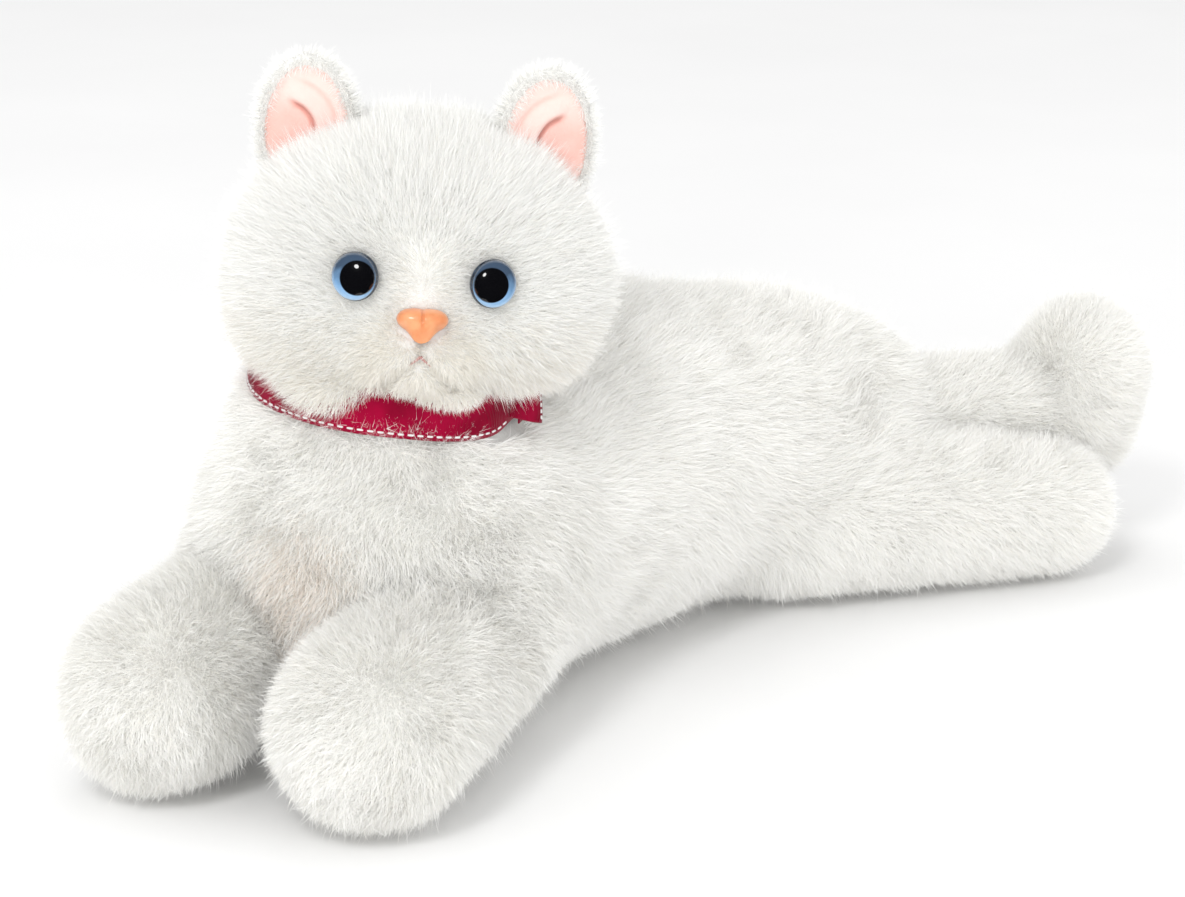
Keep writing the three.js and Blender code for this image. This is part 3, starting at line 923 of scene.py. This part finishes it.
def eye_front_material():
    """A painted blue iris with spokes, round a black pupil, under clear plastic; the iris darkens towards its
    top as painted shade.
    """
    m = new_material("eye_front", (0.3, 0.5, 0.8), 0.3, Coat_Weight=1.0, Coat_Roughness=0.015, Coat_IOR=1.6,
                     Specular_IOR_Level=0.05)
    spot = add_node(m, "ShaderNodeAttribute", attribute_name="eye_spot")
    split = add_node(m, "ShaderNodeSeparateXYZ")
    # The iris runs from light blue at its bottom to near black at its top: painted shade.
    ramp = colour_ramp(m, [(0.12, (0.36, 0.58, 0.84)), (0.5, (0.18, 0.34, 0.56)), (0.86, (0.05, 0.08, 0.13))])
    height = add_node(m, "ShaderNodeMapRange", **{"From Min": -1})
    spokes = add_node(m, "ShaderNodeTexNoise", Scale=3.5, Detail=3.0)
    shift = add_node(m, "ShaderNodeMath", operation="MULTIPLY_ADD")
    shift.inputs[1].default_value = 0.3
    outside = add_node(m, "ShaderNodeMapRange", **{"From Min": 0.97, "From Max": 1.03})
    paint = add_node(m, "ShaderNodeMix", data_type="RGBA")
    paint.inputs[6].default_value = (0.003, 0.003, 0.004, 1)
    wire(m, spot, "Vector", split, "Vector")
    wire(m, split, "Y", height, "Value")
    wire(m, spot, "Vector", spokes, "Vector")
    wire(m, spokes, "Fac", shift, 0)
    wire(m, height, "Result", shift, 2)
    wire(m, shift, "Value", ramp, "Fac")
    wire(m, split, "Z", outside, "Value")
    wire(m, outside, "Result", paint, 0)
    wire(m, ramp, "Color", paint, 7)
    wire(m, paint, 2, shader(m), "Base Color")
    return m


def add_eye(side, name, materials):
    """A low rim with a dome on it; the pupil is painted a little towards the nose."""
    r, dome = EYE["r"], EYE["dome"]
    profile = [(0, -1.5), (r * 0.7, -1.5), (r * 0.985, -0.6), (r, 0.2), (r, 0.75), (r * 0.965, EYE_BASE)]
    rings = [0.955, 0.9, 0.84, 0.78, 0.71, 0.64, 0.56, 0.46, 0.34, 0.2, 0.0]
    profile += [(k * r, EYE_BASE + dome * math.sqrt(max(0.0, 1 - (k / 0.965) ** 2))) for k in rings]
    verts, faces = lathe(profile, 56)
    piece = new_piece(f"{name}_plastic", eye_place(side).points(verts), faces, materials)
    centre = np.array([np.mean(verts[list(f)], axis=0) for f in faces])
    reach = np.hypot(centre[:, 0], centre[:, 1])
    slots = np.where((centre[:, 2] > EYE_BASE) & (reach < r * 0.945), 0, 1)
    piece.data.polygons.foreach_set("material_index", slots.astype(np.int32))
    spot = piece.data.attributes.new("eye_spot", "FLOAT_VECTOR", "POINT")
    from_pupil = np.hypot((verts[:, 0] + side * PUPIL["in"]) / PUPIL["wide"], verts[:, 1] / PUPIL["high"])
    painted = np.stack([verts[:, 0] / r, verts[:, 1] / r, from_pupil], 1)
    spot.data.foreach_set("vector", painted.astype(np.float32).ravel())
    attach(piece, "head")
    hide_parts(name)


eye_rim = uneven_material(
    "eye_rim", (0.02, 0.03, 0.05), 0.2, ((0.015, 0.02, 0.03), (0.05, 0.07, 0.1), 900),
    Coat_Weight=1.0, Coat_Roughness=0.03)
eye_materials = [eye_front_material(), eye_rim]
for side, name in ((1, "eye_left"), (-1, "eye_right")):
    add_eye(side, name, eye_materials)


# ---- nose ----
NOSE_HALF = [(0, 5.8), (3.4, 6.0), (6.9, 5.4), (9.3, 3.6), (9.8, 1.2), (8.5, -0.8), (6.2, -2.4), (4.3, -4.5),
             (2.5, -6.5), (0, -7.3)]


def closed_curve(corners, steps):
    """A smooth closed line through the corners."""
    corners = np.asarray(corners, float)
    count = len(corners)
    out = []
    for i in range(count):
        a, b, c, d = (corners[(i + k) % count] for k in (-1, 0, 1, 2))
        for t in np.arange(steps) / steps:
            out.append(0.5 * ((2 * b) + (c - a) * t + (2 * a - 5 * b + 4 * c - d) * t * t
                              + (3 * b - a - 3 * c + d) * t ** 3))
    return np.array(out)


def nose_height(x, y, r):
    """The nose bulges, with a parting down its upper half and a nostril dent at each side."""
    height = 4.6 * (1 - r ** 3.2) ** 0.55 * (1 - 0.018 * (y - 1) ** 2)
    parting = np.exp(-((x / 0.42) ** 2)) * smooth_step(-3.2, 1.0, y)
    nostril = np.exp(-(((np.abs(x) - 6.2) / 1.7) ** 2) - ((y + 1.2) / 1.1) ** 2)
    return height - 1.0 * parting - 1.4 * nostril


def domed_patch(outline, rings, height, back):
    """A closed body: an outline filled with a height field in front and a flat back."""
    verts = [(0, 0, float(height(np.zeros(1), np.zeros(1), np.zeros(1))[0]))]
    count = len(outline)
    for k in range(1, rings + 1):
        r = (k / rings) ** 0.8
        x, y = outline[:, 0] * r, outline[:, 1] * r
        z = height(x, y, np.full(count, r))
        verts += list(zip(x, y, z))
    verts += [(x, y, back) for x, y in outline * 0.97]
    verts.append((0, 0, back))
    faces = [(0, 1 + (i + 1) % count, 1 + i) for i in range(count)]
    for k in range(rings):
        low, high = 1 + k * count, 1 + (k + 1) * count
        faces += [(low + i, low + (i + 1) % count, high + (i + 1) % count, high + i) for i in range(count)]
    last, end = 1 + rings * count, len(verts) - 1
    faces += [(last + i, last + (i + 1) % count, end) for i in range(count)]
    return np.array(verts, float), faces


other_half = [(-x, y) for x, y in NOSE_HALF[-2:0:-1]]
nose_outline = closed_curve(NOSE_HALF + other_half, 6) * NOSE_SCALE
nose_verts, nose_faces = domed_patch(nose_outline, 18, nose_height, -2.5)
nose_plastic = uneven_material(
    "nose_plastic", (0.76, 0.31, 0.14), 0.32, ((0.70, 0.25, 0.10), (0.82, 0.37, 0.18), 160),
    bumps=(1500, 0.12, 0.0002), gloss=(0.26, 0.4, 300),
    Coat_Weight=0.6, Coat_Roughness=0.16, Subsurface_Weight=0.15, Subsurface_Scale=0.004)
nose = new_piece("nose_shell", NOSE_PLACE.points(nose_verts), nose_faces, [nose_plastic])
make_faces_outward(nose)
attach(nose, "head")
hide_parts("nose")


# ---- mouth ----
def face_point(x, z, proud):
    """The point of the face's skin in front of (x, z) in the head's frame, raised by proud."""
    depth = np.linspace(-85, -30, 1101)
    line = np.stack([np.full_like(depth, x), depth, np.full_like(depth, z)], 1)
    first = np.argmax(head_skin(HEAD.points(line)) < 0)
    return vec(x, depth[first] - proud, z)


def tube(points, radii, sides=8):
    """A closed round thread through points, with a radius at each."""
    points = np.asarray(points, float)
    along = unit(np.gradient(points, axis=0))
    guide = vec(0.3, 0.2, 1) if abs(along[0][2]) < 0.9 else vec(1, 0, 0)
    verts, faces = [], []
    for point, way, radius in zip(points, along, radii):
        u = unit(np.cross(way, guide))
        v = np.cross(way, u)
        for i in range(sides):
            a = 2 * math.pi * i / sides
            verts.append(point + radius * (u * math.cos(a) + v * math.sin(a)))
    for k in range(len(points) - 1):
        for i in range(sides):
            j = (i + 1) % sides
            faces.append((k * sides + i, k * sides + j, (k + 1) * sides + j, (k + 1) * sides + i))
    faces.append(tuple(range(sides))[::-1])
    faces.append(tuple((len(points) - 1) * sides + i for i in range(sides)))
    return verts, faces


def joined(parts):
    verts, faces = [], []
    for part_verts, part_faces in parts:
        faces += [tuple(i + len(verts) for i in face) for face in part_faces]
        verts += list(part_verts)
    return verts, faces


ARM_OUT, ARM_DOWN, ARM_STEPS = 3.8, 3.7, 12


def mouth_arm(side):
    """One of the two stitches that run down and out from the fork, sinking into the pile."""
    spots = [(side * ARM_OUT * t, -15.0 - ARM_DOWN * t) for t in np.linspace(0, 1, ARM_STEPS)]
    line = [face_point(x, z, 1.8 - 0.9 * abs(x) / ARM_OUT) for x, z in spots]
    return tube(line, np.linspace(0.6, 0.2, ARM_STEPS))


mouth_verts, mouth_faces = joined([mouth_arm(-1), mouth_arm(1)])
rose_thread = uneven_material(
    "mouth_thread", (0.5, 0.22, 0.2), 0.7, ((0.42, 0.17, 0.16), (0.6, 0.3, 0.27), 1200),
    bumps=(2200, 0.5, 0.0003, "ShaderNodeTexWave"), Sheen_Weight=0.3)
mouth = new_piece("mouth_stitch", HEAD.points(mouth_verts), mouth_faces, [rose_thread])
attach(mouth, "head")
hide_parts("mouth_thread")


# ---- ears ----
LINING_HALF = (15.6, 25.0)
# The rolled fold in each lining is an arc round (in, up), with a crease at each side of the roll.
FOLD = {"in": -7.5, "up": 14, "crease": 10.0, "far_crease": 18.2}


def fold_place(across, up):
    """Distance and angle from the middle of the fold's arc; across points to the middle of the head."""
    x, y = across - FOLD["in"], up - FOLD["up"]
    return np.hypot(x, y), np.degrees(np.arctan2(y, x))


def bump_at(value, middle, half):
    return np.exp(-(((value - middle) / half) ** 2))


def fold_depth(across, up):
    """Height of the rolled fold in an ear lining."""
    reach, angle = fold_place(across, up)
    fade = smooth_step(-32, -8, angle) * (1 - smooth_step(58, 92, angle))
    roll = 2.5 * smooth_step(FOLD["crease"], 11.8, reach) * (1 - smooth_step(12.4, FOLD["far_crease"], reach))
    crease = -0.8 * bump_at(reach, FOLD["crease"], 0.8) - 0.35 * bump_at(reach, FOLD["far_crease"], 0.7)
    return fade * (roll + crease)


def fold_shade(across, up):
    """How much painted shade deepens the pink: in the bowl of the ear and along the creases."""
    reach, angle = fold_place(across, up)
    seen = smooth_step(-32, -8, angle) * (1 - smooth_step(62, 88, angle))
    crease = 0.55 * bump_at(reach, FOLD["crease"], 1.2) + 0.22 * bump_at(reach, FOLD["far_crease"], 0.9)
    return 0.1 + 0.30 * bump_at(reach, 4, 7) + crease * seen


def lining_material():
    m = new_material("ear_lining", (0.9, 0.58, 0.5), 0.85, Sheen_Weight=0.35, Sheen_Roughness=0.4,
                     Specular_IOR_Level=0.15)
    depth = add_node(m, "ShaderNodeAttribute", attribute_name="fold")
    noise = texture(m, "ShaderNodeTexNoise", Scale=350, Detail=5.0)
    sway = add_node(m, "ShaderNodeMath", operation="MULTIPLY_ADD")
    sway.inputs[1].default_value = 0.12
    # The fold attribute carries painted shade: the pink deepens to brown in the bowl and the creases.
    ramp = colour_ramp(m, [(0.1, (0.88, 0.66, 0.61)), (0.55, (0.80, 0.46, 0.40)), (1.0, (0.52, 0.20, 0.17))])
    wire(m, noise, "Fac", sway, 0)
    wire(m, depth, "Fac", sway, 2)
    wire(m, sway, "Value", ramp, "Fac")
    wire(m, ramp, "Color", shader(m), "Base Color")
    bumpy(m, 900, 0.5, 0.0005)
    return m


def add_lining(side, name, material):
    """A shallow bowl of velvet, tucked under the ear's rim at its edge."""
    spot = ear_place(side)
    sides, rings = 96, 34
    angle = 2 * np.pi * np.arange(sides) / sides

    def height(x, y, r):
        up = y + EAR_MIDDLE
        inner = 1 - (x / EAR_HALF) ** 2 - ((up - EAR_MIDDLE) / EAR_HIGH) ** 2
        skin = 1.5 - EAR_THICK * np.sqrt(np.maximum(inner, 0.0)) - 0.014 * x ** 2 - 0.003 * (up - 8) ** 2
        tuck = 1.6 * smooth_step(0.88, 1.0, r)
        return -(skin - 0.9 + tuck) + fold_depth(-side * x, up)

    outline = np.stack([LINING_HALF[0] * np.cos(angle), LINING_HALF[1] * np.sin(angle)], 1)
    flat, faces = domed_patch(outline, rings, height, 0.0)
    back = len(flat) - sides - 1
    flat[back:, 2] = height(flat[back:, 0], flat[back:, 1], np.full(sides + 1, 1.0)) - 1.2
    local = np.stack([flat[:, 0], -flat[:, 2], flat[:, 1] + EAR_MIDDLE], 1)
    piece = new_piece(f"{name}_velvet", spot.points(local), faces, [material])
    # The painted shade of the bowl and the creases goes on the lining as its fold attribute.
    shade = fold_shade(-side * flat[:, 0], flat[:, 1] + EAR_MIDDLE)
    fold = piece.data.attributes.new("fold", "FLOAT", "POINT")
    fold.data.foreach_set("value", shade.astype(np.float32))
    make_faces_outward(piece)
    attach(piece, "ear_" + EAR_NAMES[side])
    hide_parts(name)


EAR_NAMES = {1: "left", -1: "right"}


def ear_flow(side):
    """The nap runs up and out over the back of the ear, and in over the lining's edge."""
    spot = ear_place(side)

    def flow(p):
        q = spot.local(p)
        out = np.stack([q[:, 0] * 0.055, np.full(len(q), 0.1), 0.35 + 0.02 * (q[:, 2] - 10)], 1)
        inward = np.stack([q[:, 0] * -0.055, np.full(len(q), -0.3), 0.03 * (EAR_MIDDLE - q[:, 2])], 1)
        front = 1 - smooth_step(0.0, 1.6, q[:, 1] + cupped(q))[:, None]
        return (out * (1 - front) + inward * front) @ spot.axes.T
    return flow


def outside_lining(side):
    """No pile grows under the lining, but it does at its edge."""
    spot = ear_place(side)

    def keep(p):
        q = spot.local(p)
        wide, high = LINING_HALF[0] - 1.6, LINING_HALF[1] - 1.6
        reach = np.hypot(q[:, 0] / wide, (q[:, 2] - EAR_MIDDLE) / high)
        return (reach > 1) | (q[:, 1] + cupped(q) > 1.0)
    return keep


velvet = lining_material()
for side, word in EAR_NAMES.items():
    spot = ear_place(side)
    middle = spot.point(0, 0, EAR_MIDDLE)
    skin, mesh = add_skin(f"ear_{word}_fabric", ears[side], middle - 32, middle + 32, 1.7, f"ear_back_{word}")
    pile = grow(f"ear_{word}_pile", mesh, ears[side], ear_flow(side), even(4.6), density=6.0, seed=70 + side,
                avoid=[head_skin], lean=(24, 46), wide=0.095, tuft=1.5, keep=outside_lining(side),
                shares=(0.15, 0.2, 0.9))
    for piece in [skin, *pile]:
        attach(piece, f"ear_{word}")
    add_lining(side, f"ear_lining_{word}", velvet)


# ---- ribbon collar ----
COLLAR_R = 48.0
RIBBON_HALF = 8.0
RIBBON_THICK = 0.5
RING_FROM, RING_TO = -262, 96  # degrees round the neck, from the front towards the cat's left
END_FROM, END_TO = 87.0, 103.0
STITCHES_FROM, STITCHES_TO = -150, 84
STITCH_PITCH = 3.3
STITCH_SHARE = 0.62  # how much of the pitch a stitch shows above the ribbon
STITCH_STEPS = (0, 0.12, 0.5, 0.88, 1)


def end_drop(angle):
    """How far the free end hangs below the ring."""
    return 1.6 * float(smooth_step(END_FROM, END_TO, angle))


def ribbon_point(angle, up, out=0.0):
    """A point of the ring of ribbon: angle from the front, up from its middle line, out from its face."""
    a = math.radians(angle)
    ripple = 0.7 * math.sin(3.1 * a + 0.6) + 0.4 * math.sin(7.3 * a)
    r = COLLAR_R + ripple - 0.17 * up + out
    return vec(r * math.sin(a), -r * math.cos(a), up + 0.5 * math.sin(4.1 * a))


def ring_half_width(angle):
    """The ring is gathered in under the tied end."""
    gather = math.exp(-(((angle - 92) / 10) ** 2))
    return RIBBON_HALF * (1 - 0.4 * gather)


def end_half_width(angle):
    """The free end flares out from where it is pinched."""
    t = max(0.0, (angle - END_FROM) / (END_TO - END_FROM))
    return 3.4 + 2.8 * t ** 0.8


def band(angles, half_width, out, drop, steps=10):
    """A strip of ribbon with a thickness, following the ring."""
    verts = []
    for layer in (0.0, RIBBON_THICK):
        for angle in angles:
            half = half_width(angle)
            for k in range(steps + 1):
                up = half * (2 * k / steps - 1)
                puff = 0.35 * (1 - (up / half) ** 2)
                verts.append(ribbon_point(angle, up - drop(angle), out(angle) + puff + layer))
    row, layer = steps + 1, len(angles) * (steps + 1)
    faces = []
    for i in range(len(angles) - 1):
        for k in range(steps):
            a = i * row + k
            faces.append((a, a + row, a + row + 1, a + 1))
            faces.append((layer + a, layer + a + 1, layer + a + row + 1, layer + a + row))
        for k in (0, steps):
            a = i * row + k
            faces.append((a, a + row, layer + a + row, layer + a))
    for i in (0, len(angles) - 1):
        for k in range(steps):
            a = i * row + k
            faces.append((a, a + 1, layer + a + 1, layer + a))
    return verts, faces


def end_out(angle):
    """How far the free end stands out from the ring."""
    return 0.8 + 5.2 * float(smooth_step(END_FROM + 1, END_TO, angle))


def no_change(angle):
    return 0.0


ring_angles = np.linspace(RING_FROM, RING_TO, 300)
end_angles = np.linspace(END_FROM, END_TO, 40)
ribbon_verts, ribbon_faces = joined([
    band(ring_angles, ring_half_width, no_change, no_change),
    band(end_angles, end_half_width, end_out, end_drop),
])
satin = uneven_material(
    "ribbon_satin", (0.28, 0.001, 0.024), 0.38, ((0.20, 0.0007, 0.016), (0.33, 0.0012, 0.03), 90),
    bumps=(1400, 0.35, 0.00025, "ShaderNodeTexWave"), gloss=(0.3, 0.46, 140),
    Specular_IOR_Level=0.8, Specular_Tint=(1.0, 0.12, 0.3, 1))
ribbon = new_piece("ribbon_satin", COLLAR.points(ribbon_verts), ribbon_faces, [satin])
make_faces_outward(ribbon)
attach(ribbon, "neck")
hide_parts("collar_ribbon")


def dash(points):
    """One running stitch."""
    return tube(points, [0.18, 0.36, 0.4, 0.36, 0.18], sides=7)


def edge_point(angle):
    return ribbon_point(angle, 1.5 - ring_half_width(angle), RIBBON_THICK + 0.15)


def end_point(up):
    return ribbon_point(END_TO - 1.4, up - end_drop(END_TO), end_out(END_TO) + RIBBON_THICK + 0.25)


pitch_angle = math.degrees(STITCH_PITCH / COLLAR_R)
dashes = []
for angle in np.arange(STITCHES_FROM, STITCHES_TO, pitch_angle):
    dashes.append(dash([edge_point(angle + t * pitch_angle * STITCH_SHARE) for t in STITCH_STEPS]))
for level in np.arange(-4.6, 4.6, 2.2):
    dashes.append(dash([end_point(level + t * 1.4) for t in STITCH_STEPS]))
stitch_verts, stitch_faces = joined(dashes)
thread = uneven_material(
    "white_thread", (0.9, 0.88, 0.88), 0.6, ((0.82, 0.79, 0.80), (0.95, 0.93, 0.93), 1500),
    bumps=(2600, 0.5, 0.0003, "ShaderNodeTexWave"), Sheen_Weight=0.4)
stitches = new_piece("ribbon_stitches", COLLAR.points(stitch_verts), stitch_faces, [thread])
make_faces_outward(stitches)
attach(stitches, "neck")
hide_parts("collar_edge_thread")


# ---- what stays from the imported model, inside the covers ----
def inner_material(name, low, high, roughness, scale):
    return uneven_material(name, low, roughness, (low, high, scale), bumps=(scale * 2, 0.5, 0.0008))


INNER_LOOKS = {
    "stuffing": inner_material("fibre_filling", (0.80, 0.80, 0.79), (0.92, 0.92, 0.91), 0.95, 160),
    "pellet_bag": inner_material("pellet_cotton", (0.70, 0.68, 0.62), (0.80, 0.78, 0.72), 0.9, 420),
    "washer": inner_material("washer_plastic", (0.85, 0.85, 0.84), (0.90, 0.90, 0.89), 0.4, 200),
}
for node_name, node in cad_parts.items():
    for word, look in INNER_LOOKS.items():
        if word in node_name:
            for slot in node.material_slots:
                slot.material = look


# ---- camera, light, floor ----
def look_at(thing, position, target):
    direction = Vector(target) - Vector(position)
    thing.location = position
    thing.rotation_euler = direction.to_track_quat("-Z", "Y").to_euler()


CAMERA_TARGET = vec(12.35, -32.16, 89)
CAMERA_AWAY = 1300
CAMERA_LENS = 107.4
CAMERA_AZ, CAMERA_EL = math.radians(45), math.radians(16)
camera_data = bpy.data.cameras.new("camera")
camera_data.sensor_width = 36
camera_data.lens = CAMERA_LENS
camera = bpy.data.objects.new("camera", camera_data)
bpy.context.scene.collection.objects.link(camera)
level = math.cos(CAMERA_EL)
towards_camera = vec(math.sin(CAMERA_AZ) * level, -math.cos(CAMERA_AZ) * level, math.sin(CAMERA_EL))
look_at(camera, as_metres(CAMERA_TARGET + towards_camera * CAMERA_AWAY), as_metres(CAMERA_TARGET))
bpy.context.scene.camera = camera


def add_lamp(name, position, size, power, mirrored=True, target=(0, -0.03, 0.08)):
    data = bpy.data.lights.new(name, "AREA")
    data.shape = "DISK"
    data.size = size
    data.energy = power
    lamp = bpy.data.objects.new(name, data)
    bpy.context.scene.collection.objects.link(lamp)
    lamp.visible_glossy = mirrored
    look_at(lamp, position, target)


add_lamp("key", (0.77, -1.45, 1.5), 0.55, 12)
add_lamp("fill", (1.9, 0.3, 0.8), 1.2, 1.5, mirrored=False)
add_lamp("front", (2.5, -2.9, 0.7), 1.5, 48, mirrored=False)
add_lamp("top", (-0.6, 0.5, 2.0), 1.2, 3, mirrored=False)

world = bpy.data.worlds.new("studio")
world.use_nodes = True
world.node_tree.nodes["Background"].inputs["Color"].default_value = (1, 1, 1, 1)
world.node_tree.nodes["Background"].inputs["Strength"].default_value = 0.87
world.cycles_visibility.glossy = False
bpy.context.scene.world = world
bpy.context.scene.cycles.diffuse_bounces = 8
bpy.context.scene.view_settings.view_transform = "Standard"


FLOOR_HALF = 6000
floor_corners = [(x * FLOOR_HALF, y * FLOOR_HALF, 0) for x, y in ((-1, -1), (1, -1), (1, 1), (-1, 1))]
floor_paint = uneven_material(
    "floor", (0.96, 0.96, 0.96), 0.9, ((0.95, 0.95, 0.95), (0.97, 0.97, 0.97), 4), Specular_IOR_Level=0.1)
floor = new_piece("floor", floor_corners, [(0, 1, 2, 3)], [floor_paint], smooth=False)
floor.visible_glossy = False
